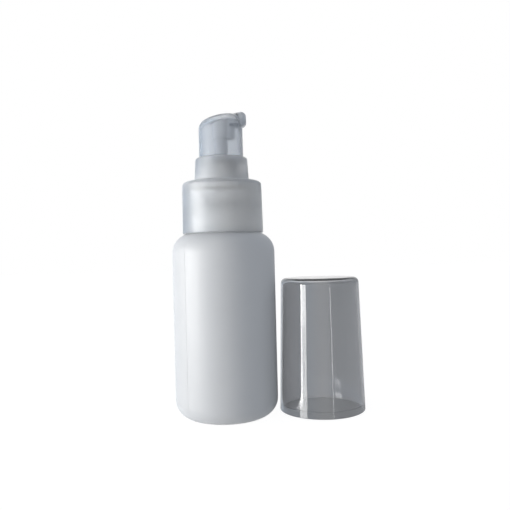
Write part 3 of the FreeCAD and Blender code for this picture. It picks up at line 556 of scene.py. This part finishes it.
def clear_cap_plastic(tint):
    """Clear polystyrene with a grey cast, injection moulded.

    It reads as smoky glass: sharp reflections, a tint that doubles where two walls overlap, and
    faint upright draw marks.
    """
    material, tree, output = new_material("clear_cap_moulded")
    place_on = add(tree, "ShaderNodeTexCoord").outputs["Object"]
    # Draw marks about 2 mm apart, drawn out along the cap.
    draw_place = add(tree, "ShaderNodeMapping", {"Scale": (1 / 2, 1 / 2, 1 / 80)},
                     {"Vector": place_on})
    marks = add(tree, "ShaderNodeTexNoise", {"Scale": 1 / MM, "Detail": 2.0},
                {"Vector": draw_place.outputs["Vector"]})
    dull = add(tree, "ShaderNodeMapRange", {"To Min": 0.04, "To Max": 0.1},
               {"Value": marks.outputs["Fac"]})
    wave = add(tree, "ShaderNodeBump", {"Strength": 0.008, "Distance": 0.05 * MM},
               {"Height": marks.outputs["Fac"]})
    shader = add(tree, "ShaderNodeBsdfPrincipled",
                 {"Base Color": rgba(tint), "IOR": 1.59, "Transmission Weight": 0.94},
                 {"Roughness": dull.outputs["Result"], "Normal": wave.outputs["Normal"]})
    tree.links.new(shader.outputs["BSDF"], output.inputs["Surface"])
    return material


def soft_white(name, tint, grain, roughness):
    """Opaque soft plastic or foam: a dull surface with a fine grain."""
    material, tree, output = new_material(name)
    place_on = add(tree, "ShaderNodeTexCoord").outputs["Object"]
    cells = add(tree, "ShaderNodeTexVoronoi", {"Scale": 1 / grain}, {"Vector": place_on})
    tone = add(tree, "ShaderNodeValToRGB", links={"Fac": cells.outputs["Distance"]})
    tone.color_ramp.elements[0].color = rgba(tint, 0.9)
    tone.color_ramp.elements[1].color = rgba(tint, 1.0)
    bump = add(tree, "ShaderNodeBump", {"Strength": 0.2, "Distance": grain / 10},
               {"Height": cells.outputs["Distance"]})
    shader = add(tree, "ShaderNodeBsdfPrincipled", {"IOR": 1.5, "Roughness": roughness},
                 {"Base Color": tone.outputs["Color"], "Normal": bump.outputs["Normal"]})
    tree.links.new(shader.outputs["BSDF"], output.inputs["Surface"])
    return material


def drawn_steel(tint):
    """Stainless steel wire, drawn: bright metal with fine die scratches along it."""
    material, tree, output = new_material("stainless_steel_drawn")
    place_on = add(tree, "ShaderNodeTexCoord").outputs["Object"]
    # Scratches about 0.15 mm apart.
    scratches = add(tree, "ShaderNodeTexNoise", {"Scale": 1 / (0.15 * MM), "Detail": 2.0},
                    {"Vector": place_on})
    dull = add(tree, "ShaderNodeMapRange", {"To Min": 0.22, "To Max": 0.38},
               {"Value": scratches.outputs["Fac"]})
    shader = add(tree, "ShaderNodeBsdfPrincipled", {"Base Color": rgba(tint), "Metallic": 1.0},
                 {"Roughness": dull.outputs["Result"]})
    tree.links.new(shader.outputs["BSDF"], output.inputs["Surface"])
    return material


# Operators

class OIL_BOTTLE_OT_bottle(bpy.types.Operator):
    """Build the white bottle with its hollow base, mould seam and threaded neck"""

    bl_idname = "oil_bottle.bottle"
    bl_label = "Bottle"

    def execute(self, context):
        size = context.scene.oil_bottle_sizes
        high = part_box("bottle")[1]
        radius = high.x
        ring_outer = radius - size.base_corner
        ring_inner = ring_outer - size.stand_ring
        bore = size.neck_radius - size.neck_wall
        wall = radius - size.wall
        outside = rounded([
            (ring_inner, 0.0),
            (radius, 0.0, size.base_corner),
            (radius, size.shoulder_height, size.shoulder_radius),
            (size.neck_radius, size.shoulder_height, SOFT_EDGE),
            (size.neck_radius, high.z, FULL_EDGE),
            (bore, high.z, FULL_EDGE),
            (bore, size.shoulder_height - size.wall, SOFT_EDGE),
            (wall, size.shoulder_height - size.wall, size.shoulder_radius - size.wall),
            (wall, size.wall, size.base_corner - size.wall),
            (ring_inner, size.wall),
        ], closed=False, steps=12)
        under = dish(ring_inner, size.pushup)
        floor = [Vector((p.x, p.y + size.wall)) for p in reversed(under)]
        points = under[:-1] + outside + floor[1:]
        bm = bmesh.new()
        start = -math.pi / 2 - size.seam_angle
        seam = size.seam_width / 2 / radius
        half_turn = [(seam, 1), (math.pi - 2 * seam, BOTTLE_HALF_STEPS), (seam, 1)]
        spin(bm, draw(bm, points, closed=False, angle=start), half_turn * 2)
        clean(bm)
        for angle in (start, start + math.pi):
            raise_seam(bm, angle, size.seam_height)
        rise = size.thread_pitch * size.thread_turns
        section = ridge(size.neck_radius - size.neck_wall * size.thread_sink,
                        size.neck_radius + size.thread_depth, high.z - size.thread_lead_in - rise,
                        size.thread_root * size.thread_pitch, size.thread_tip * size.thread_pitch)
        add_helix(bm, section, rise, size.thread_turns)
        bmesh.ops.recalc_face_normals(bm, faces=bm.faces)
        material = white_hdpe(context.scene.oil_bottle_finishes.bottle_white)
        place(bm, "bottle_body", "bottle", "bottle", "white_hdpe", material)
        return {"FINISHED"}


class OIL_BOTTLE_OT_collar(bpy.types.Operator):
    """Build the translucent screw collar with its tower, thread and rim lugs"""

    bl_idname = "oil_bottle.collar"
    bl_label = "Screw collar"

    def execute(self, context):
        size = context.scene.oil_bottle_pump
        pitch = context.scene.oil_bottle_sizes.thread_pitch
        turns = context.scene.oil_bottle_sizes.thread_turns
        low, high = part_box("screw_collar")
        rim_inner = low.z + size.rim_slope
        tower_top = size.tower_inner + size.tower_wall
        bm = turned(rounded([
            (size.collar_inner, rim_inner, FINE_EDGE),
            (high.x, low.z, size.rim_round),
            (high.x - size.collar_draft, size.collar_top, size.collar_edge),
            (tower_top + size.tower_draft, size.collar_top, size.tower_edge),
            (tower_top, high.z, size.tower_edge),
            (size.tower_inner, high.z, SMALL_EDGE),
            (size.tower_inner, size.collar_top, PLAIN_EDGE),
            (size.plate_hole, size.collar_top, FINE_EDGE),
            (size.plate_hole, size.collar_top - size.plate, FINE_EDGE),
            (size.collar_inner, size.collar_top - size.plate, FULL_EDGE),
        ]), steps=COLLAR_STEPS)
        inside = bmesh.new()
        section = ridge(size.collar_inner + size.thread_sink, size.thread_crest, size.thread_start,
                        size.thread_root * pitch, size.thread_tip * pitch)
        add_helix(inside, section, pitch * turns, turns)
        for number in range(size.lug_count):
            self.add_lug(inside, size, rim_inner, math.tau * number / size.lug_count)
        bmesh.ops.recalc_face_normals(inside, faces=inside.faces)
        bm = fused(bm, inside)
        tint = context.scene.oil_bottle_finishes
        edge = Thick(UP * size.collar_top, UP, 0.0, size.edge_reach, tint.edge_clear)
        material = moulded_pp("natural_pp_moulded", tint.collar_natural, clear=0.94, dull=0.34,
                              haze=1.0, absorb=20.0, thick=edge)
        place(bm, "collar_and_tower", "collar", "screw_collar", "natural_pp", material)
        return {"FINISHED"}

    def add_lug(self, bm, size, height, angle):
        """One small lug with softened edges inside the rim."""
        middle = Vector((size.collar_inner - size.lug_depth / 2, 0, height + size.lug_height / 2))
        sides = (size.lug_depth * LUG_OVERLAP, size.lug_width, size.lug_height, 1)
        spot = Matrix.Rotation(angle, 4, "Z") @ Matrix.Translation(middle) @ Matrix.Diagonal(sides)
        made = bmesh.ops.create_cube(bm, size=1.0, matrix=spot)
        edges = {edge for vert in made["verts"] for edge in vert.link_edges}
        bmesh.ops.bevel(bm, geom=list(edges), offset=FINE_EDGE, segments=2, profile=0.5,
                        affect="EDGES", material=-1)


class OIL_BOTTLE_OT_head(bpy.types.Operator):
    """Finish the translucent pump head with its slanted top and nozzle"""

    bl_idname = "oil_bottle.head"
    bl_label = "Pump head"

    def execute(self, context):
        bm = copy_of("actuator")
        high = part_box("actuator")[1]
        size = context.scene.oil_bottle_pump
        tint = context.scene.oil_bottle_finishes
        core = size.head_core * high.y
        for face in bm.faces:
            upright = abs(face.normal.z) < math.sin(size.core_lean)
            face.material_index = int(upright and face.calc_center_median().xy.length < core)
        nozzle = Thick(Vector((high.x, 0, high.z - size.nozzle_drop)), (1, 1, 1),
                       size.nozzle_solid, size.nozzle_reach, tint.nozzle_clear)
        material = moulded_pp("clarified_pp_moulded", tint.head_natural, clear=0.86, dull=0.18,
                              thick=nozzle)
        piece = place(bm, "pump_head", "head", "actuator", "natural_pp", material, sharp=30.0)
        piece.data.materials.append(milky_pp(context))
        return {"FINISHED"}


class OIL_BOTTLE_OT_guide(bpy.types.Operator):
    """Build the domed stem guide that shows through the tower, and finish the stem"""

    bl_idname = "oil_bottle.guide"
    bl_label = "Stem guide and stem"

    def execute(self, context):
        size = context.scene.oil_bottle_pump
        low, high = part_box("stem_guide")
        outer = high.x
        inner = outer - size.guide_wall
        top = outer - size.guide_draft
        sleeve_outer = size.sleeve_inner + size.guide_wall
        roof_under = high.z - size.guide_roof
        sleeve_end = roof_under - size.sleeve_length
        bm = turned(rounded([
            (inner, low.z),
            (outer, low.z, SMALL_EDGE),
            (top, high.z, size.guide_edge),
            (size.sleeve_inner, high.z, PLAIN_EDGE),
            (size.sleeve_inner, sleeve_end, FINE_EDGE),
            (sleeve_outer, sleeve_end, FINE_EDGE),
            (sleeve_outer, roof_under, PLAIN_EDGE),
            (top - size.guide_wall, roof_under, FULL_EDGE),
            (inner, low.z + size.guide_foot),
        ]))
        material = moulded_pp("natural_pp_thick", context.scene.oil_bottle_finishes.guide_natural,
                              clear=0.3, dull=0.3)
        place(bm, "stem_guide_dome", "pump", "stem_guide", "milky_pp", material)
        place(copy_of("stem"), "pump_stem", "head", "stem", "milky_pp", milky_pp(context))
        return {"FINISHED"}


class OIL_BOTTLE_OT_spring(bpy.types.Operator):
    """Wind the return spring, as a fixed coil that rides with the pump"""

    bl_idname = "oil_bottle.spring"
    bl_label = "Return spring"

    def execute(self, context):
        size = context.scene.oil_bottle_pump
        low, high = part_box("return_spring")
        wire = size.spring_wire / 2
        mean = high.y - wire
        end_rise = size.spring_end_pitch
        working_rise = high.z - low.z - 2 * wire - 2 * end_rise
        bm = bmesh.new()
        bmesh.ops.create_circle(bm, cap_ends=False, segments=WIRE_SIDES, radius=wire,
                                matrix=Matrix.Translation((mean, 0, low.z + wire))
                                @ Matrix.Rotation(math.pi / 2, 4, "X"))
        first = bm.edges[:]
        geom = bm.verts[:] + bm.edges[:]
        for turns, rise in ((1, end_rise), (size.spring_turns, working_rise), (1, end_rise)):
            steps = turns * SPRING_STEPS
            done = bmesh.ops.spin(bm, geom=geom, cent=(0, 0, 0), axis=UP, angle=math.tau * turns,
                                  dvec=UP * (rise / steps), steps=steps)
            geom = done["geom_last"]
        last = [edge for edge in geom if isinstance(edge, bmesh.types.BMEdge)]
        for loop in (first, last):
            bmesh.ops.contextual_create(bm, geom=loop)
        clean(bm)
        material = drawn_steel(context.scene.oil_bottle_finishes.steel)
        piece = place(bm, "spring_coil", "pump", "return_spring", "spring_steel", material)
        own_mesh(piece)
        return {"FINISHED"}


class OIL_BOTTLE_OT_inner_pieces(bpy.types.Operator):
    """Give the pieces inside the pump their finishes"""

    bl_idname = "oil_bottle.inner_pieces"
    bl_label = "Inner pieces"

    def execute(self, context):
        tint = context.scene.oil_bottle_finishes
        milky = milky_pp(context)
        steel = bpy.data.materials["stainless_steel_drawn"]
        finishes = {
            "pump_housing": milky,
            "valve_plug": milky,
            "piston": soft_white("white_ldpe_moulded", tint.piston_white,
                                 grain=0.4 * MM, roughness=0.5),
            "neck_gasket": soft_white("sealing_foam_closed_cell", tint.foam_grey,
                                      grain=0.3 * MM, roughness=0.8),
            "dip_tube": moulded_pp("natural_pe_extruded", tint.tube_natural, clear=0.5, dull=0.3),
            "inlet_ball": steel,
        }
        for node, material in finishes.items():
            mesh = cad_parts[node].data
            mesh.materials.clear()
            mesh.materials.append(material)
        return {"FINISHED"}


class OIL_BOTTLE_OT_overcap(bpy.types.Operator):
    """Build the clear tapered overcap that stands beside the bottle"""

    bl_idname = "oil_bottle.overcap"
    bl_label = "Overcap"

    def execute(self, context):
        size = context.scene.oil_bottle_cap
        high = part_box("overcap")[1]
        centre, mouth = cap_mouth()
        mouth_inner = mouth - size.wall
        top = mouth - size.draft
        points = rounded([
            (0.0, high.z),
            (top, high.z, size.edge),
            (mouth, 0.0, size.rim_round),
            (mouth_inner + size.ledge_depth, 0.0, FINE_EDGE),
            (mouth_inner + size.ledge_depth, size.ledge_height, CRISP_EDGE),
            (mouth_inner, size.ledge_height, FINE_EDGE),
            (top - size.wall, high.z - size.roof, size.edge - size.wall),
            (0.0, high.z - size.roof),
        ], closed=False, steps=10)
        bm = bmesh.new()
        weld = -math.pi / 2 + size.weld_angle
        half = size.weld_width / 2 / mouth
        spin(bm, draw(bm, points, closed=False, angle=weld),
             [(half, 1), (math.tau - 2 * half, CAP_STEPS), (half, 1)])
        clean(bm)
        raise_seam(bm, weld, size.weld_height)
        bmesh.ops.translate(bm, verts=bm.verts, vec=centre)
        material = clear_cap_plastic(context.scene.oil_bottle_finishes.cap_clear)
        place(bm, "clear_overcap", "cap", "overcap", "clear_cap", material)
        return {"FINISHED"}


class OIL_BOTTLE_OT_stage(bpy.types.Operator):
    """Set up the pale floor, the soft light and the camera"""

    bl_idname = "oil_bottle.stage"
    bl_label = "Stage"

    def execute(self, context):
        scene = context.scene
        stage = scene.oil_bottle_stage
        scene.view_settings.view_transform = "Standard"
        self.set_camera(scene, stage)
        self.add_panel(scene, stage, "key", stage.key_angle, stage.key_width,
                       stage.key_low, stage.key_high, stage.key_power)
        self.add_panel(scene, stage, "strip", stage.strip_angle, stage.strip_width,
                       stage.strip_low, stage.strip_high, stage.strip_power)
        self.set_world(scene, stage)
        self.set_floor(scene, stage)
        return {"FINISHED"}

    def set_camera(self, scene, stage):
        """Camera level with the middle of the bottle."""
        data = bpy.data.cameras.new("camera")
        data.lens = stage.lens
        data.clip_start = stage.camera_near
        camera = bpy.data.objects.new("camera", data)
        camera.location = (stage.camera_aside, -stage.camera_back, stage.camera_height)
        camera.rotation_euler = (math.pi / 2, stage.camera_roll, 0)
        scene.collection.objects.link(camera)
        scene.camera = camera

    def add_panel(self, scene, stage, name, angle, width, low, high, power):
        """Soft light panel at an angle to the left, from low under the table up to high."""
        data = bpy.data.lights.new(name, "AREA")
        data.shape = "RECTANGLE"
        data.size = width
        data.size_y = low + high
        data.energy = power
        data.color = stage.light_tint
        light = bpy.data.objects.new(name, data)
        away = Vector((-math.sin(angle), -math.cos(angle), 0))
        light.location = away * stage.light_distance + UP * (high - low) / 2
        light.rotation_euler = (-away).to_track_quat("-Z", "Y").to_euler()
        scene.collection.objects.link(light)

    def white_share(self, tree):
        """Socket that is 1 for rays from the camera, reflections and clear plastic."""
        rays = add(tree, "ShaderNodeLightPath")
        total = rays.outputs["Is Camera Ray"]
        for kind in ("Is Glossy Ray", "Is Transmission Ray"):
            total = add(tree, "ShaderNodeMath", None, {0: total, 1: rays.outputs[kind]},
                        operation="MAXIMUM").outputs["Value"]
        return total

    def set_world(self, scene, stage):
        """White where it is seen, tinted at the far sides, grey where it lights the object."""
        world = bpy.data.worlds.new("studio")
        world.use_nodes = True
        tree = world.node_tree
        tree.nodes.clear()
        toward = add(tree, "ShaderNodeTexCoord").outputs["Generated"]
        lean = add(tree, "ShaderNodeVectorMath", {1: stage.fill_from}, {0: toward},
                   operation="DOT_PRODUCT")
        level = add(tree, "ShaderNodeMapRange",
                    {"To Min": stage.ambient, "To Max": stage.ambient_fill},
                    {"Value": lean.outputs["Value"]})
        grey = add(tree, "ShaderNodeBackground", {"Color": rgba(stage.ambient_tint)},
                   {"Strength": level.outputs["Result"]})
        along = add(tree, "ShaderNodeSeparateXYZ", None, {0: toward})
        rays = add(tree, "ShaderNodeLightPath")
        middle = {}
        for side, tint in ((-1, stage.left_tint), (1, stage.right_tint)):
            reach = add(tree, "ShaderNodeMapRange",
                        {"From Min": side * stage.side_start, "From Max": side * stage.side_full},
                        {"Value": along.outputs["X"]})
            unseen = add(tree, "ShaderNodeMath", None,
                         {0: reach.outputs["Result"], 1: rays.outputs["Is Camera Ray"]},
                         operation="SUBTRACT", use_clamp=True)
            shade = add(tree, "ShaderNodeMix", {"A": (1, 1, 1, 1), "B": rgba(tint)},
                        {"Factor": unseen.outputs["Value"], **middle}, data_type="RGBA")
            middle = {"A": shade.outputs["Result"]}
        white = add(tree, "ShaderNodeBackground", {"Strength": 1.0},
                    {"Color": shade.outputs["Result"]})
        mix = add(tree, "ShaderNodeMixShader", None,
                  {0: self.white_share(tree), 1: grey.outputs[0], 2: white.outputs[0]})
        add(tree, "ShaderNodeOutputWorld", None, {"Surface": mix.outputs[0]})
        scene.world = world

    def set_floor(self, scene, stage):
        """Pale floor that keeps a faint shadow, with a painted shade: a darker disc inside the
        overcap's mouth, seen only through plastic.
        """
        bm = bmesh.new()
        bmesh.ops.create_grid(bm, x_segments=1, y_segments=1, size=stage.floor_size / 2,
                              matrix=Matrix.Translation(UP * -stage.floor_gap))
        mesh = bpy.data.meshes.new("floor")
        bm.to_mesh(mesh)
        bm.free()
        material, tree, output = new_material("pale_floor")
        matt = add(tree, "ShaderNodeBsdfDiffuse", {"Color": rgba((1, 1, 1), stage.floor_tone)})
        white = add(tree, "ShaderNodeEmission",
                    {"Color": (1, 1, 1, 1), "Strength": stage.floor_glow})
        rays = add(tree, "ShaderNodeLightPath")
        # Painted shade: within the overcap's mouth circle the floor keeps less plain white for rays
        # through plastic, so a darker disc is painted under the cap
        middle, radius = cap_mouth()
        spot = add(tree, "ShaderNodeTexCoord").outputs["Object"]
        away = add(tree, "ShaderNodeVectorMath", {1: middle}, {0: spot}, operation="DISTANCE")
        outside = add(tree, "ShaderNodeMath", {1: radius}, {0: away.outputs["Value"]},
                      operation="GREATER_THAN")
        through = add(tree, "ShaderNodeMapRange",
                      {"To Min": stage.painted_shade_white, "To Max": stage.floor_through},
                      {"Value": outside.outputs["Value"]})
        most = add(tree, "ShaderNodeMapRange", {"To Min": stage.floor_white},
                   {"Value": rays.outputs["Is Transmission Ray"],
                    "To Max": through.outputs["Result"]})
        part = add(tree, "ShaderNodeMath", None,
                   {0: self.white_share(tree), 1: most.outputs["Result"]},
                   operation="MULTIPLY")
        mix = add(tree, "ShaderNodeMixShader", None,
                  {0: part.outputs["Value"], 1: matt.outputs[0], 2: white.outputs[0]})
        tree.links.new(mix.outputs[0], output.inputs["Surface"])
        mesh.materials.append(material)
        floor = bpy.data.objects.new("floor", mesh)
        floor.visible_glossy = False
        scene.collection.objects.link(floor)


OPERATORS = (
    OIL_BOTTLE_OT_bottle,
    OIL_BOTTLE_OT_collar,
    OIL_BOTTLE_OT_head,
    OIL_BOTTLE_OT_guide,
    OIL_BOTTLE_OT_spring,
    OIL_BOTTLE_OT_inner_pieces,
    OIL_BOTTLE_OT_overcap,
    OIL_BOTTLE_OT_stage,
)


class OIL_BOTTLE_PT_panel(bpy.types.Panel):
    """Buttons that build the pump oil bottle"""

    bl_idname = "OIL_BOTTLE_PT_panel"
    bl_label = "Pump oil bottle"
    bl_space_type = "VIEW_3D"
    bl_region_type = "UI"
    bl_category = "Oil Bottle"

    def draw(self, context):
        for operator in OPERATORS:
            self.layout.operator(operator.bl_idname)


CLASSES = (*GROUPS.values(), *OPERATORS, OIL_BOTTLE_PT_panel)


def register():
    """Add the settings, operators and panel to Blender."""
    for item in CLASSES:
        bpy.utils.register_class(item)
    for name, group in GROUPS.items():
        setattr(bpy.types.Scene, name, PointerProperty(type=group))


def unregister():
    """Take them out again."""
    for name in GROUPS:
        delattr(bpy.types.Scene, name)
    for item in reversed(CLASSES):
        bpy.utils.unregister_class(item)


def main():
    """Build every piece and the stage."""
    register()
    bpy.ops.oil_bottle.bottle()
    bpy.ops.oil_bottle.collar()
    bpy.ops.oil_bottle.head()
    bpy.ops.oil_bottle.guide()
    bpy.ops.oil_bottle.spring()
    bpy.ops.oil_bottle.inner_pieces()
    bpy.ops.oil_bottle.overcap()
    bpy.ops.oil_bottle.stage()


if __name__ == "__main__":
    main()
